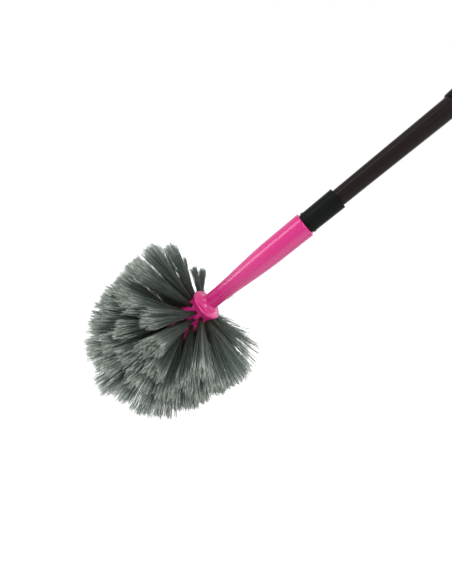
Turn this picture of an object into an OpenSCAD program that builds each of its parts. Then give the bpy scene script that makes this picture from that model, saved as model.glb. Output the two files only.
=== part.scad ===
// Cobweb brush: a round head of bristles on a two-part telescopic pole, hung up by its eyelet.
// The pole runs along Z with the head below. The origin is where a hook bears in the eyelet,
// and the eyelet runs through the cap along Y. Lengths are in millimetres.

/* [Pole] */
// Outside diameter of the lower, inner tube
inner_tube_d = 19; // [16:0.5:24]
// Steel wall of both tubes
tube_wall = 0.5; // [0.4:0.1:1]
// Radial gap between the inner tube and the bore of the outer tube
telescope_gap = 1; // [0.8:0.1:1.5]
// Length of the outer tube
outer_tube_len = 520; // [360:10:900]
// How much shorter the inner tube is than the outer one
inner_tube_shorter = 40; // [40:5:120]
// Bare inner tube that shows between the collar and the ferrule
drawn_out = 117; // [5:1:140]

/* [Collar at the mouth of the outer tube] */
// Wall of the collar round the outer tube
collar_wall = 1.6; // [1.2:0.1:3]
// Length of outer tube that the collar covers
collar_grip = 28; // [15:1:45]
// Length of the collar below the end of the outer tube
collar_nose = 8; // [5:1:20]

/* [Hang cap] */
// Width of the eyelet
eyelet_w = 12.5; // [9:0.5:15]
// Length of the eyelet along the pole
eyelet_len = 19; // [16:0.5:21]
// Rim of the cap on each side of the eyelet
eyelet_rim = 2.3; // [1.5:0.1:3]
// Rim of the cap at its tip
tip_rim = 4.3; // [3:0.1:6]
// Thickness of the flat end of the cap
cap_thick = 12.5; // [8:0.5:15]
// Visible length of the cap
cap_len = 33; // [31:1:45]
// Length of the neck of the cap inside the grip sleeve
cap_neck = 12; // [8:1:20]
// Length of the plug of the cap inside the outer tube
cap_plug = 22; // [12:1:24]

/* [Grip sleeve] */
// Length of the sleeve
grip_len = 52; // [45:1:140]
// Wall of the sleeve at its mouth
grip_mouth_wall = 1.2; // [1:0.1:3]
// Wall of the sleeve at its fullest
grip_belly_wall = 1.75; // [1.4:0.05:4]
// Wall of the sleeve round the neck of the cap
grip_end_wall = 1.3; // [1:0.1:2]

/* [Label] */
// Length of the label film
label_len = 85; // [40:1:120]
// Distance from the grip sleeve to the label
label_drop = 90; // [10:1:150]
// Thickness of the label film
label_film = 0.15; // [0.1:0.05:0.4]

/* [Twist lock] */
// Diameter of the stud
stud_d = 6; // [5:0.5:7]
// Length of the plug inside the inner tube
plug_len = 22; // [14:1:40]
// Length of the split sleeve that grips the outer tube
split_len = 22; // [18:1:30]
// Height of the cone
cone_h = 12; // [8:1:14]
// Travel of the cone between locked and free
cone_travel = 1.5; // [1:0.1:2.5]
// Width of the splits in the sleeve
split_w = 2.4; // [1.8:0.1:3]

/* [Ferrule at the pole tip] */
// Wall of the ferrule round the inner tube
ferrule_wall = 2.6; // [1.8:0.1:4]
// Length of the ferrule outside the head, with its ring
ferrule_len = 41; // [25:1:60]
// Height of the ring above the wall of the ferrule
ring_step = 0.65; // [0.4:0.05:1.2]
// Length of the ring
ring_len = 3; // [2:0.5:6]
// Outside diameter of the thread
thread_d = 21.4; // [19:0.1:24]
// Length of the thread
thread_len = 22; // [14:1:30]
// Pitch of the thread
thread_pitch = 4; // [3:0.5:5]

/* [Head socket] */
// Height of the mouth of the socket above the middle of the flange
socket_len = 162; // [110:1:220]
// Wall of the socket round the thread
socket_wall = 3.75; // [2.5:0.05:5]
// Smallest diameter of the neck
neck_d = 21.8; // [19:0.1:24]
// Height of the narrowest place above the flange
neck_at = 24; // [18:1:34]
// Height of the fullest place above the flange
belly_at = 110; // [80:1:125]
// How much the radius at the fullest place is larger than at the mouth
belly_swell = 0.2; // [0:0.1:1.5]
// Diameter of the flange
flange_d = 44; // [40:0.5:60]
// Thickness of the flange
flange_t = 5; // [4:0.5:8]

/* [Bristle block] */
// Diameter of the block that holds the tufts
block_d = 38; // [34:0.5:42]
// Thickness of the slice that each ring of tufts is fused to
slice_t = 5; // [4:0.5:6]
// Distance from the middle of the flange to the first ring of tufts
first_ring = 10.5; // [9:0.5:14]
// Distance from one ring of tufts to the next
ring_pitch = 9.3; // [8.5:0.1:12]
// Tufts in each ring
ring_tufts = 10; // [8:2:10]
// Diameter of a drilled tuft hole
hole_d = 5.6; // [4.5:0.1:6]

/* [Bristles] */
// Free length of a bristle
bristle_len = 93; // [60:1:120]
// Width across a bristle at its root
bristle_w = 1.6; // [1:0.1:1.8]
// How far the outer bristles of a tuft lean out
tuft_spread = 7.5; // [4:0.5:8]
// Lean of the first ring towards the grip
back_lean = 4; // [0:1:8]
// Lean of the last ring towards the end of the head
last_lean = 27; // [20:1:32]

/* [Hidden] */
$fn = 64;

pink = "#d8307f";
black = "#1d1f1e";
grip_grey = "#2c302d";
coated_steel = "#161312";
bare_steel = "#b9bcc0";
film_grey = "#9a9da0";
bristle_grey = "#5d6663";
lock_white = "#d9d8d2";

// Clearances
seat_gap = 0.05;      // pieces pushed together for good, radially
run_gap = 0.05;       // pieces that slide or turn in each other, radially
free_gap = 0.3;       // pieces on different bodies that only face each other
thread_gap = 0.15;    // male thread in the head socket, radially

// Tubes and what slides in them
inner_bore_d = inner_tube_d - 2 * tube_wall;
outer_bore_d = inner_tube_d + 2 * telescope_gap;
outer_tube_d = outer_bore_d + 2 * tube_wall;
inner_tube_len = outer_tube_len - inner_tube_shorter;

// Heights along the pole, from the hook at zero downwards
eyelet_r = eyelet_w / 2;
cap_base_z = eyelet_r + tip_rim - cap_len;
outer_top_z = cap_base_z - cap_neck;
outer_end_z = outer_top_z - outer_tube_len;
collar_end_z = outer_end_z - collar_nose;
grip_mouth_z = cap_base_z - grip_len;
label_top_z = grip_mouth_z - label_drop;
ferrule_top_z = collar_end_z - drawn_out;
flange_z = ferrule_top_z - ferrule_len - free_gap - socket_len;

// Ferrule, measured from the middle of the flange
ferrule_foot_s = socket_len + free_gap;
ferrule_top_s = ferrule_foot_s + ferrule_len;
ferrule_d = inner_tube_d + 2 * (seat_gap + ferrule_wall);
foot_neck = 1.7;      // plain neck between the mouth of the socket and the ring
tube_seat_s = ferrule_foot_s + foot_neck + ring_len - 1;
inner_top_z = flange_z + tube_seat_s + inner_tube_len;

// Cap
cap_neck_in = 1.3;    // how far the neck stands in from the outer tube
cap_step = 0.25;      // step from the grip sleeve in to the cap
cap_neck_d = outer_tube_d - 2 * cap_neck_in;
cap_base_d = cap_neck_d + 2 * (seat_gap + grip_end_wall - cap_step);
cap_w = eyelet_w + 2 * eyelet_rim;
cap_edge = 3;         // rounding of the flat end
cap_foot = 5;         // round foot below the flattened end
cap_foot_draw = 0.6;  // how far the foot draws in towards its top
cap_plug_wall = 2.5;
cap_plug_floor = 3;

// Lock
plug_flange_t = 4;
plug_flange_d = outer_bore_d - 0.4;
split_rest = 0.2;     // gap between the flange of the plug and the split sleeve
split_foot = 6;       // solid foot of the split sleeve under the cone
split_wall = 1.7;     // wall of the split sleeve at its top
split_d = outer_bore_d - 2 * run_gap;
stud_bore_d = stud_d + 2 * run_gap;
cone_rim = 1;         // straight rim on top of the cone
cone_top_d = split_d - 2 * split_wall;
cone_low_d = stud_bore_d + 4;
split_z = inner_top_z + plug_flange_t + split_rest;
cone_z = split_z + split_foot;
nut_h = 4;
nut_z = cone_z + cone_h + cone_rim + cone_travel + free_gap;
stud_head_h = 4;
stud_head_d = 2 * stud_d;

// Socket
socket_bore_d = thread_d + 2 * thread_gap;
mouth_r = socket_bore_d / 2 + socket_wall;
belly_r = mouth_r + belly_swell;
lip_r = 1.8;          // rounding of the mouth
rim_r = 2.2;          // rounding of the flange
flange_flat = 0.3;    // least flat between the rounding and the fillet
fillet_r = min(8.6, flange_d / 2 - rim_r - flange_flat - neck_d / 2);
neck_wall = 3.4;
spigot_r = 8;
spigot_len = 12;
web_t = 3;            // floor of the socket's cavity above the spigot
cavity_r = neck_d / 2 - neck_wall;

// Block and tufts
block_r = block_d / 2;
rod_r = block_r - slice_t;
rings = 8;
last_ring = first_ring + (rings - 1) * ring_pitch;
dome_s = -(last_ring + ring_pitch / 2);
shadow_gap = 1.2;     // groove under the flange
slice_sides = 20;
dome_steps = 4;       // flat bands of the rounded end
pocket_deep = 3;
strands = 5;          // bristles in a tuft: one in the middle and the rest round it
strand_offset = 1.7;
tip_share = 0.6;      // width at the tip as a share of the width at the root
// Rings of tufts on the rounded end: how many tufts, and their angle from the widest ring
dome_rings = [[8, 42], [6, 64], [1, 90]];
dome_turn = 5;        // turns the first tuft of each off the corners of the slices

// Helpers

// Points of an arc round (x, y)
function arc(x, y, r, from, to, steps = 8) =
    [for (i = [0:steps]) let (a = from + (to - from) * i / steps) [x + r * cos(a), y + r * sin(a)]];

// Lean of a ring, from slightly back at the first to well forward at the last
function lean(k) = -back_lean + (back_lean + last_lean) * (k - 1) / (rings - 1);

// Half a ring of tufts of turn on every other ring, so that the tufts are staggered
function stagger(k) = (k % 2) * 180 / ring_tufts;

// A ring with square edges, from z0 up to z1
module band(r0, r1, z0, z1) {
    rotate_extrude() translate([r0, z0]) square([r1 - r0, z1 - z0]);
}

// Puts children at the middle of the flange
module at_flange() {
    translate([0, 0, flange_z]) children();
}

// Puts children at each tuft of ring k, with the tuft along +Z and the block's surface at zero
module at_ring_tufts(k) {
    for (i = [0:ring_tufts - 1])
        rotate(360 * i / ring_tufts + stagger(k))
            translate([block_r, 0, -(first_ring + (k - 1) * ring_pitch)])
                rotate([0, 90 + lean(k), 0])
                    children();
}

// Puts children at each tuft of the rounded end in the same way
module at_dome_tufts() {
    translate([0, 0, dome_s])
        for (d = dome_rings, i = [0:d[0] - 1])
            rotate(360 * i / d[0] + dome_turn)
                rotate([0, 90 + d[1], 0])
                    translate([0, 0, block_r])
                        children();
}

// Outer pole

// Hang cap: round where it meets the grip sleeve, flattened and rounded round the eyelet
module hang_cap() {
    slot_low = eyelet_w - eyelet_len;
    color(pink) {
        difference() {
            hull() {
                translate([0, 0, cap_base_z]) cylinder(h = 1, d = cap_base_d, $fn = 32);
                translate([0, 0, cap_base_z + cap_foot - 1])
                    cylinder(h = 1, d = cap_base_d - 2 * cap_foot_draw, $fn = 32);
                for (y = [-1, 1])
                    translate([0, y * (cap_thick / 2 - cap_edge), eyelet_r + tip_rim - cap_w / 2])
                        rotate([90, 0, 0])
                            rotate_extrude($fn = 40)
                                translate([cap_w / 2 - cap_edge, 0])
                                    circle(cap_edge, $fn = 20);
            }
            for (z = [0, slot_low])
                translate([0, 0, z]) rotate([90, 0, 0])
                    cylinder(h = 2 * cap_thick, d = eyelet_w, center = true);
            translate([0, 0, slot_low / 2])
                cube([eyelet_w, 2 * cap_thick, -slot_low], center = true);
        }
        translate([0, 0, outer_top_z]) cylinder(h = cap_neck, d = cap_neck_d);
        translate([0, 0, outer_top_z - cap_plug])
            difference() {
                cylinder(h = cap_plug, d = outer_bore_d - 2 * seat_gap);
                translate([0, 0, -1])
                    cylinder(h = cap_plug - cap_plug_floor + 1, d = outer_bore_d - 2 * cap_plug_wall);
            }
    }
}

// Grip sleeve: slightly barrel-shaped, drawn in round the neck of the cap
module grip_sleeve() {
    mouth_r = outer_tube_d / 2 + seat_gap + grip_mouth_wall;
    full_r = outer_tube_d / 2 + seat_gap + grip_belly_wall;
    end_r = cap_neck_d / 2 + seat_gap + grip_end_wall;
    edge = 0.8;         // rounding of the mouth
    plain_z = 3;        // the sleeve starts to swell here
    full_z = 0.58 * grip_len;
    bulge = [for (i = [0:10])
        [mouth_r + (full_r - mouth_r) * sin(9 * i), plain_z + (full_z - plain_z) * i / 10]];
    shoulder = [for (i = [1:10])
        [end_r + (full_r - end_r) * cos(9 * i), full_z + (grip_len - full_z) * i / 10]];
    color(grip_grey)
        translate([0, 0, grip_mouth_z])
            difference() {
                rotate_extrude()
                    polygon(concat(
                        [[0, 0]], arc(mouth_r - edge, edge, edge, -90, 0, 4),
                        bulge, shoulder, [[0, grip_len]]
                    ));
                translate([0, 0, -1])
                    cylinder(h = grip_len - cap_neck + 1, d = outer_tube_d + 2 * seat_gap);
                cylinder(h = 2 * grip_len, d = cap_neck_d + 2 * seat_gap);
            }
}

// Outer tube of coated steel
module outer_tube() {
    color(coated_steel) band(outer_bore_d / 2, outer_tube_d / 2, outer_end_z, outer_top_z);
}

// Label film round the outer tube
module label_sleeve() {
    film_r = outer_tube_d / 2 + seat_gap;
    color(film_grey) band(film_r, film_r + label_film, label_top_z - label_len, label_top_z);
}

// Collar that covers the mouth of the outer tube and guides the inner tube
module tube_collar() {
    collar_r = outer_tube_d / 2 + seat_gap + collar_wall;
    top = collar_nose + collar_grip;
    nose_wall = 1.6;    // wall at the tip of the nose
    bevel = 1;
    edge = 0.7;         // rounding of the top edge
    color(black)
        translate([0, 0, collar_end_z])
            difference() {
                rotate_extrude()
                    polygon(concat(
                        [[0, 0], [inner_tube_d / 2 + nose_wall, 0]],
                        [[collar_r - bevel, collar_nose - bevel], [collar_r, collar_nose + bevel]],
                        arc(collar_r - edge, top - edge, edge, 0, 90, 4),
                        [[0, top]]
                    ));
                translate([0, 0, -1]) cylinder(h = top, d = inner_tube_d + 2 * run_gap);
                translate([0, 0, collar_nose])
                    cylinder(h = top, d = outer_tube_d + 2 * seat_gap);
            }
}

// Twist lock

// Split sleeve that the cone presses against the bore of the outer tube
module split_sleeve() {
    seat_low_r = cone_low_d / 2 + free_gap;
    seat_top_r = cone_top_d / 2 + free_gap;
    color(lock_white)
        translate([0, 0, split_z])
            difference() {
                cylinder(h = split_len, d = split_d);
                translate([0, 0, -1]) cylinder(h = split_len, d = stud_bore_d);
                translate([0, 0, split_foot - free_gap]) cylinder(h = 1, r = seat_low_r);
                translate([0, 0, split_foot]) cylinder(h = cone_h, r1 = seat_low_r, r2 = seat_top_r);
                translate([0, 0, split_foot + cone_h]) cylinder(h = split_len, r = seat_top_r);
                translate([0, 0, split_foot - 1 + split_len / 2])
                    for (a = [0, 90]) rotate(a) cube([2 * split_d, split_w, split_len], center = true);
            }
}

// Cone that the stud draws into the sleeve; its four fins stop it from turning
module lock_cone() {
    fin_w = split_w - 2 * free_gap;
    fin_r = split_d / 2 - 1;
    color(black)
        translate([0, 0, cone_z])
            difference() {
                union() {
                    cylinder(h = cone_h, d1 = cone_low_d, d2 = cone_top_d);
                    translate([0, 0, cone_h]) cylinder(h = cone_rim, d = cone_top_d);
                    translate([0, 0, cone_h / 2 + 1])
                        for (a = [0, 90]) rotate(a)
                            cube([2 * fin_r, fin_w, cone_h - 2], center = true);
                }
                translate([0, 0, -1]) cylinder(h = 2 * cone_h, d = stud_bore_d);
            }
}

// Inner pole

// Inner tube of coated steel
module inner_tube() {
    color(coated_steel)
        band(inner_bore_d / 2, inner_tube_d / 2, inner_top_z - inner_tube_len, inner_top_z);
}

// Plug in the top of the inner tube, with a flange that guides it in the outer tube
module lock_plug() {
    color(black)
        translate([0, 0, inner_top_z])
            difference() {
                union() {
                    translate([0, 0, -plug_len]) cylinder(h = plug_len, d = inner_bore_d - 2 * seat_gap);
                    cylinder(h = plug_flange_t, d = plug_flange_d);
                }
                translate([0, 0, -plug_len - 1])
                    cylinder(h = 2 * plug_len, d = stud_d + 2 * seat_gap);
                translate([0, 0, -plug_len - 1])
                    cylinder(h = stud_head_h + 1, d = stud_head_d + 2 * seat_gap);
            }
}

// Stud that turns with the inner tube, with its head under the plug
module lock_stud() {
    foot_z = inner_top_z - plug_len;
    color(bare_steel) {
        translate([0, 0, foot_z]) cylinder(h = nut_z + nut_h - foot_z, d = stud_d);
        translate([0, 0, foot_z]) cylinder(h = stud_head_h - seat_gap, d = stud_head_d);
    }
}

// Nut that keeps the cone on the stud
module stud_nut() {
    color(bare_steel)
        translate([0, 0, nut_z])
            difference() {
                cylinder(h = nut_h, d = 2 * stud_d, $fn = 6);
                translate([0, 0, -1]) cylinder(h = 2 * nut_h, d = stud_d + 2 * seat_gap);
            }
}

// Ferrule at the pole tip: sleeve on the tube, ring, and the thread that the head screws on to
module pole_ferrule() {
    r = ferrule_d / 2;
    thread_depth = 1.1;
    ridge_w = 2.8;      // a ridge of the thread at its root
    crest_w = 1;        // and at its crest
    flank = (ridge_w - crest_w) / 2;
    core_wall = 2.2;    // wall inside the thread
    edge = 0.4;         // bevels, and the step of the neck below the ring
    root_r = thread_d / 2 - thread_depth;
    low = ferrule_foot_s - thread_len;
    turns = floor((thread_len - ridge_w) / thread_pitch);
    ring_s = ferrule_foot_s + foot_neck;
    ring_top_s = ring_s + ring_len;
    ridge = [[0, 0], [thread_depth, flank], [thread_depth, flank + crest_w], [0, ridge_w]];
    ridges = [for (i = [0:turns - 1], p = ridge)
        [root_r + p[0], low + 1 + i * thread_pitch + p[1]]];
    color(black)
        at_flange()
            difference() {
                rotate_extrude()
                    polygon(concat(
                        [[0, low], [root_r - edge, low]],
                        ridges,
                        [[root_r, ferrule_foot_s], [r - edge, ferrule_foot_s], [r - edge, ring_s]],
                        [[r + ring_step - edge, ring_s], [r + ring_step, ring_s + edge]],
                        [[r + ring_step, ring_top_s - edge], [r + ring_step - edge, ring_top_s]],
                        [[r, ring_top_s]],
                        [[r, ferrule_top_s - edge], [r - edge, ferrule_top_s], [0, ferrule_top_s]]
                    ));
                translate([0, 0, tube_seat_s]) cylinder(h = ferrule_len, d = inner_tube_d + 2 * seat_gap);
                translate([0, 0, low - 1])
                    cylinder(h = 2 * thread_len + ferrule_len, r = root_r - core_wall);
            }
}

// Brush head

// Share of the way from the neck to the belly, easing into the full width
function swell(f) = f - 0.05 * sin(360 * f) + 0.04 * sin(180 * f);

// Conical socket with the round flange at its foot
module head_socket() {
    neck_r = neck_d / 2;
    half = flange_t / 2;
    mouth_band = 8;     // straight band under the mouth
    rim_x = flange_d / 2 - rim_r;
    cone = [for (i = [0:16]) let (f = i / 16)
        [neck_r + (belly_r - neck_r) * swell(f), neck_at + (belly_at - neck_at) * f]];
    color(pink)
        at_flange()
            difference() {
                rotate_extrude()
                    polygon(concat(
                        [[0, -half], [rim_x, -half]],
                        arc(rim_x, rim_r - half, rim_r, -90, 0, 6),
                        arc(rim_x, half - rim_r, rim_r, 0, 90, 6),
                        arc(neck_r + fillet_r, half + fillet_r, fillet_r, -90, -180, 10),
                        cone,
                        [[mouth_r, socket_len - mouth_band]],
                        arc(mouth_r - lip_r, socket_len - lip_r, lip_r, 0, 90, 6),
                        [[0, socket_len]]
                    ));
                translate([0, 0, socket_len - thread_len - 2])
                    cylinder(h = thread_len + 4, d = socket_bore_d);
                translate([0, 0, spigot_len - half + free_gap + web_t])
                    cylinder(h = socket_len, r = cavity_r);
                translate([0, 0, -half - 1])
                    cylinder(h = spigot_len + free_gap + 1, r = spigot_r + seat_gap);
            }
}

// Block inside the slices, with its spigot in the socket and the bottoms of the tuft holes
module tuft_block() {
    top = -flange_t / 2;
    first_slice = -(first_ring - ring_pitch / 2);
    color(pink)
        at_flange()
            difference() {
                rotate_extrude()
                    polygon(concat(
                        [[0, top + spigot_len], [spigot_r, top + spigot_len], [spigot_r, top]],
                        [[block_r - 1.5, top], [block_r - 1.5, top - shadow_gap]],
                        [[block_r, top - shadow_gap], [block_r, first_slice], [rod_r, first_slice]],
                        arc(0, dome_s, rod_r, 0, -90, 8)
                    ));
                for (k = [1:rings]) at_ring_tufts(k) pocket(lean(k));
            }
}

// Bottom of a tuft hole, drilled along the tuft that leans by a
module pocket(a) {
    translate([0, 0, -(slice_t + pocket_deep) / cos(a)])
        cylinder(h = pocket_deep + slice_t, d = hole_d, $fn = 16);
}

// Flat anchor wire that holds a folded tuft down in its hole
module anchor(a) {
    wire_t = 0.5;
    wire_h = 2;
    translate([0, 0, -slice_t / cos(a) - 0.6 - wire_h / 2])
        cube([wire_t, hole_d - 2 * free_gap, wire_h], center = true);
}

module tuft_anchors() {
    color(bare_steel)
        at_flange()
            for (k = [1:rings]) at_ring_tufts(k) anchor(lean(k));
}

// One bristle: three-sided, thinner towards its tip, rooted inside the slice
module strand(len) {
    root = 2;
    w = bristle_w / sqrt(3);
    points = [for (s = [[-root, w], [len, w * tip_share]], a = [0, 120, 240])
        [s[1] * cos(a), s[1] * sin(a), s[0]]];
    polyhedron(points, [
        [0, 1, 2], [3, 5, 4],
        [0, 4, 1], [0, 3, 4], [1, 5, 2], [1, 4, 5], [2, 3, 0], [2, 5, 3]
    ]);
}

// One tuft: a bristle in the middle and the others leaning out round it
module tuft(turn) {
    strand(bristle_len);
    for (j = [1:strands - 1])
        rotate(360 * j / (strands - 1) + turn)
            translate([strand_offset, 0, 0])
                rotate([0, tuft_spread, 0])
                    strand(bristle_len * (j % 2 == 0 ? 0.97 : 1));
}

// Slice of the block as flat facets, each a convex block between two corners
module slice(z0, z1) {
    out = block_r / cos(180 / slice_sides);
    in = (rod_r + 0.1) / cos(180 / slice_sides);
    for (i = [0:slice_sides - 1])
        translate([0, 0, z0])
            hull()
                linear_extrude(z1 - z0)
                    polygon([for (c = [[in, i], [out, i], [out, i + 1], [in, i + 1]])
                        let (a = 360 * (c[1] - 0.5) / slice_sides) [c[0] * cos(a), c[0] * sin(a)]]);
}

// Ring k: its tufts fused to their slice of the block
module tuft_ring(k) {
    s = -(first_ring + (k - 1) * ring_pitch);
    color(bristle_grey)
        at_flange() {
            slice(s - ring_pitch / 2, s + ring_pitch / 2);
            at_ring_tufts(k) tuft(45);
        }
}

// Rounded end of the block with its tufts
module tuft_end() {
    color(bristle_grey)
        at_flange() {
            translate([0, 0, dome_s])
                difference() {
                    dome(block_r);
                    dome((rod_r + 0.1) / (cos(45 / dome_steps) * cos(180 / slice_sides)));
                }
            at_dome_tufts() tuft(0);
        }
}

// Half ball of flat facets below zero, cut off flat at its pole
module dome(r) {
    pole_r = 1.5;
    thin = 0.01;
    for (i = [0:dome_steps - 1])
        hull()
            for (a = [90 * i / dome_steps, 90 * (i + 1) / dome_steps])
                translate([0, 0, -r * sin(a) - thin])
                    cylinder(h = thin, r = max(r * cos(a), pole_r), $fn = slice_sides);
}

hang_cap();
grip_sleeve();
outer_tube();
label_sleeve();
tube_collar();
split_sleeve();
lock_cone();
inner_tube();
lock_plug();
lock_stud();
stud_nut();
pole_ferrule();
head_socket();
tuft_block();
tuft_anchors();
for (k = [1:rings])
    tuft_ring(k);
tuft_end();
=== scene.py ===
# %% [markdown]
# # Cobweb brush on a telescopic pole
# The imported CAD model comes first, as a fixed frame in metres. Every piece made below sits
# where that frame says, so nothing has to be fitted by eye. The box of the whole object is
# kept now, and the floor is set below it.

# %% Load the frame
import bmesh
import bpy
import random
from math import cos, sin, radians, pi
from mathutils import Matrix, Vector


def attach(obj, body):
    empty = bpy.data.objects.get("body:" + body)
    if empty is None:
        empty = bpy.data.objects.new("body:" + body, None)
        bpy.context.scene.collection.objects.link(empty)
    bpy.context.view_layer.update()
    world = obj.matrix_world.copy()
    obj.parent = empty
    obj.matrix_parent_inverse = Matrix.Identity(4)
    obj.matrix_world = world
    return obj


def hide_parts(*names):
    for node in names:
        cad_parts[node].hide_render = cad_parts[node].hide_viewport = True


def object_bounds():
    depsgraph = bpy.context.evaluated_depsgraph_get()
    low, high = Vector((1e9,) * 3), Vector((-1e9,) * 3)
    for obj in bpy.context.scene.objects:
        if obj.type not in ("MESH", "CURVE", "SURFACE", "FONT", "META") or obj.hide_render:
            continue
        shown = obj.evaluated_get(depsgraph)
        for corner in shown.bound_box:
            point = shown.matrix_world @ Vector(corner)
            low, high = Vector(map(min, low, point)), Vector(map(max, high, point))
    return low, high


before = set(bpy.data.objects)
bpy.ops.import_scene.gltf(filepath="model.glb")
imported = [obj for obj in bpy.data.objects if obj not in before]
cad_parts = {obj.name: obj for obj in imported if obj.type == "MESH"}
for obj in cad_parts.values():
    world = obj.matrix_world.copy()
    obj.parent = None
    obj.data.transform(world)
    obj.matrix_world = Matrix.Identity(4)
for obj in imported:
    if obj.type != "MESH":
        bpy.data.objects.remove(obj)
cad_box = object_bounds()
print("CAD box", [[round(n, 4) for n in corner] for corner in cad_box])

# %% [markdown]
# ## The camera
# The brush lies across the picture, so the camera is rolled until the upright pole rises to
# the right at 39 degrees, and it looks down on the head by 25 degrees. Its focal length and
# its distance come from how fast the pole's width grows towards the camera.

# %% Camera
IMAGE_WIDTH = 452
IMAGE_HEIGHT = 584
FOCAL_PX = 300
SENSOR_MM = 36
LOOK_DOWN = radians(25)
ROLL = radians(38.9)
TURN = radians(5)           # round the pole, so that the near tufts stand as in the picture
HEAD_DEPTH = 0.400          # from the lens to the middle of the flange
FLANGE_PX = (206.5, 305)    # where the middle of the flange lies in the picture
FLANGE_Z = -0.88275

scene = bpy.context.scene
level_ahead = Vector((-sin(TURN), cos(TURN), 0))
upright = Vector((0, 0, 1))
ahead = cos(LOOK_DOWN) * level_ahead - sin(LOOK_DOWN) * upright
along_pole = sin(LOOK_DOWN) * level_ahead + cos(LOOK_DOWN) * upright
sideways = Vector((cos(TURN), sin(TURN), 0))
image_right = cos(ROLL) * along_pole + sin(ROLL) * sideways
image_up = sin(ROLL) * along_pole - cos(ROLL) * sideways
right_of_middle = (FLANGE_PX[0] - IMAGE_WIDTH / 2) * HEAD_DEPTH / FOCAL_PX
above_middle = (IMAGE_HEIGHT / 2 - FLANGE_PX[1]) * HEAD_DEPTH / FOCAL_PX

camera = bpy.data.objects.new("Camera", bpy.data.cameras.new("Camera"))
scene.collection.objects.link(camera)
camera.data.sensor_width = SENSOR_MM
camera.data.lens = FOCAL_PX * SENSOR_MM / IMAGE_HEIGHT
camera.data.clip_start = 0.01
place = Matrix((image_right, image_up, -ahead)).transposed().to_4x4()
place.translation = (
    Vector((0, 0, FLANGE_Z))
    - image_right * right_of_middle
    - image_up * above_middle
    - ahead * HEAD_DEPTH
)
camera.matrix_world = place
scene.camera = camera
scene.view_settings.view_transform = "Standard"
print("lens", round(camera.data.lens, 2), "mm, camera at", [round(n, 3) for n in place.translation])

# %% [markdown]
# ## Helpers for nodes and colours
# A material or a geometry tree is a chain of nodes. One function adds a node, sets its
# options and fills its sockets: a socket given as a value is joined by a link, and anything
# else is written into it. Colours are noted as the eye knows them and turned to linear light.

# %% Helpers
def add_node(tree, kind, inputs=None, **settings):
    made = tree.nodes.new(kind)
    for name, value in settings.items():
        setattr(made, name, value)
    for key, value in (inputs or {}).items():
        if isinstance(value, bpy.types.NodeSocket):
            tree.links.new(value, made.inputs[key])
        else:
            made.inputs[key].default_value = value
    return made


def linear(hex_code):
    parts = [int(hex_code[i:i + 2], 16) / 255 for i in (1, 3, 5)]
    return (*[p / 12.92 if p <= 0.04045 else ((p + 0.055) / 1.055) ** 2.4 for p in parts], 1)


def new_material(name):
    material = bpy.data.materials.new(name)
    material.use_nodes = True
    tree = material.node_tree
    tree.nodes.clear()
    return material, tree


def per_mm(size):
    # Scale of a texture whose features are that many millimetres across
    return 1000 / size


print("helpers ready")

# %% [markdown]
# ## What the plain finishes share
# Plastic, coating and zinc all have detail of one kind: the colour drifts between two close
# shades, the gloss drifts too, and most surfaces are slightly uneven. Each drift follows a
# noise, whose size is given in millimetres, and which can be drawn out along the pole, as
# streaks are. The unevenness is bump over bump, the widest first. What is the same all over
# goes straight into the shader's sockets.

# %% Recipe for a plain finish
def plain_finish(name, noises, shades, gloss, bumps, sockets):
    # noises: (size in mm, detail, how many times drawn out)
    # shades and gloss: (noise, value at its low end, value at its high end)
    # bumps: (noise, strength, height in metres)
    material, tree = new_material(name)
    place_in_piece = add_node(tree, "ShaderNodeTexCoord").outputs["Object"]
    drift = {}
    for label, (size, detail, *drawn_out) in noises.items():
        place = place_in_piece
        if drawn_out:
            place = add_node(
                tree, "ShaderNodeMapping",
                {"Vector": place, "Scale": (1.0, 1.0, 1 / drawn_out[0])}).outputs[0]
        drift[label] = add_node(
            tree, "ShaderNodeTexNoise",
            {"Vector": place, "Scale": per_mm(size), "Detail": detail}).outputs["Fac"]
    tint = add_node(
        tree, "ShaderNodeMix",
        {0: drift[shades[0]], 6: linear(shades[1]), 7: linear(shades[2])}, data_type="RGBA")
    sheen = add_node(tree, "ShaderNodeMapRange", {0: drift[gloss[0]], 3: gloss[1], 4: gloss[2]})
    sockets = {"Base Color": tint.outputs[2], "Roughness": sheen.outputs[0], **sockets}
    under = {}
    for label, strength, distance in bumps:
        uneven = add_node(
            tree, "ShaderNodeBump",
            {"Height": drift[label], "Strength": strength, "Distance": distance, **under})
        under = {"Normal": uneven.outputs[0]}
    shader = add_node(tree, "ShaderNodeBsdfPrincipled", {**sockets, **under})
    add_node(tree, "ShaderNodeOutputMaterial", {0: shader.outputs[0]})
    print("material", material.name, "with", len(tree.nodes), "nodes")
    return material


print("recipe ready")

# %% [markdown]
# ## Moulded polypropylene, bright pink
# The socket, the cap and the block are injection-moulded polypropylene. The mould is
# polished, so the surface is glossy, but the plastic shrinks as it cools and leaves a faint
# waviness a centimetre or two across, and the pigment flows unevenly.

# %% Pink polypropylene
pink_plastic = plain_finish(
    "moulded_polypropylene_pink",
    noises={"pigment": (26, 3.0), "sink": (16, 1.0), "skin": (9, 2.0)},
    shades=("pigment", "#d32481", "#ca1e76"), gloss=("skin", 0.21, 0.24),
    bumps=[("sink", 0.05, 0.0004), ("skin", 0.01, 0.0001)], sockets={"IOR": 1.49})

# %% [markdown]
# ## Moulded polypropylene, black satin
# The ferrule and the collar come from a spark-eroded mould, whose fine grain gives a satin
# skin. The grain is about 0.1 mm on the real thing and is drawn at 0.7 mm, because finer
# grain is lost in the picture. The dye leaves the black slightly green.

# %% Black polypropylene
black_plastic = plain_finish(
    "moulded_polypropylene_black",
    noises={"grain": (0.7, 3.0), "patch": (14, 2.0)},
    shades=("patch", "#0d100f", "#131816"), gloss=("grain", 0.34, 0.38),
    bumps=[("grain", 0.06, 0.0001)], sockets={"IOR": 1.49, "Specular IOR Level": 0.05})

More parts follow.
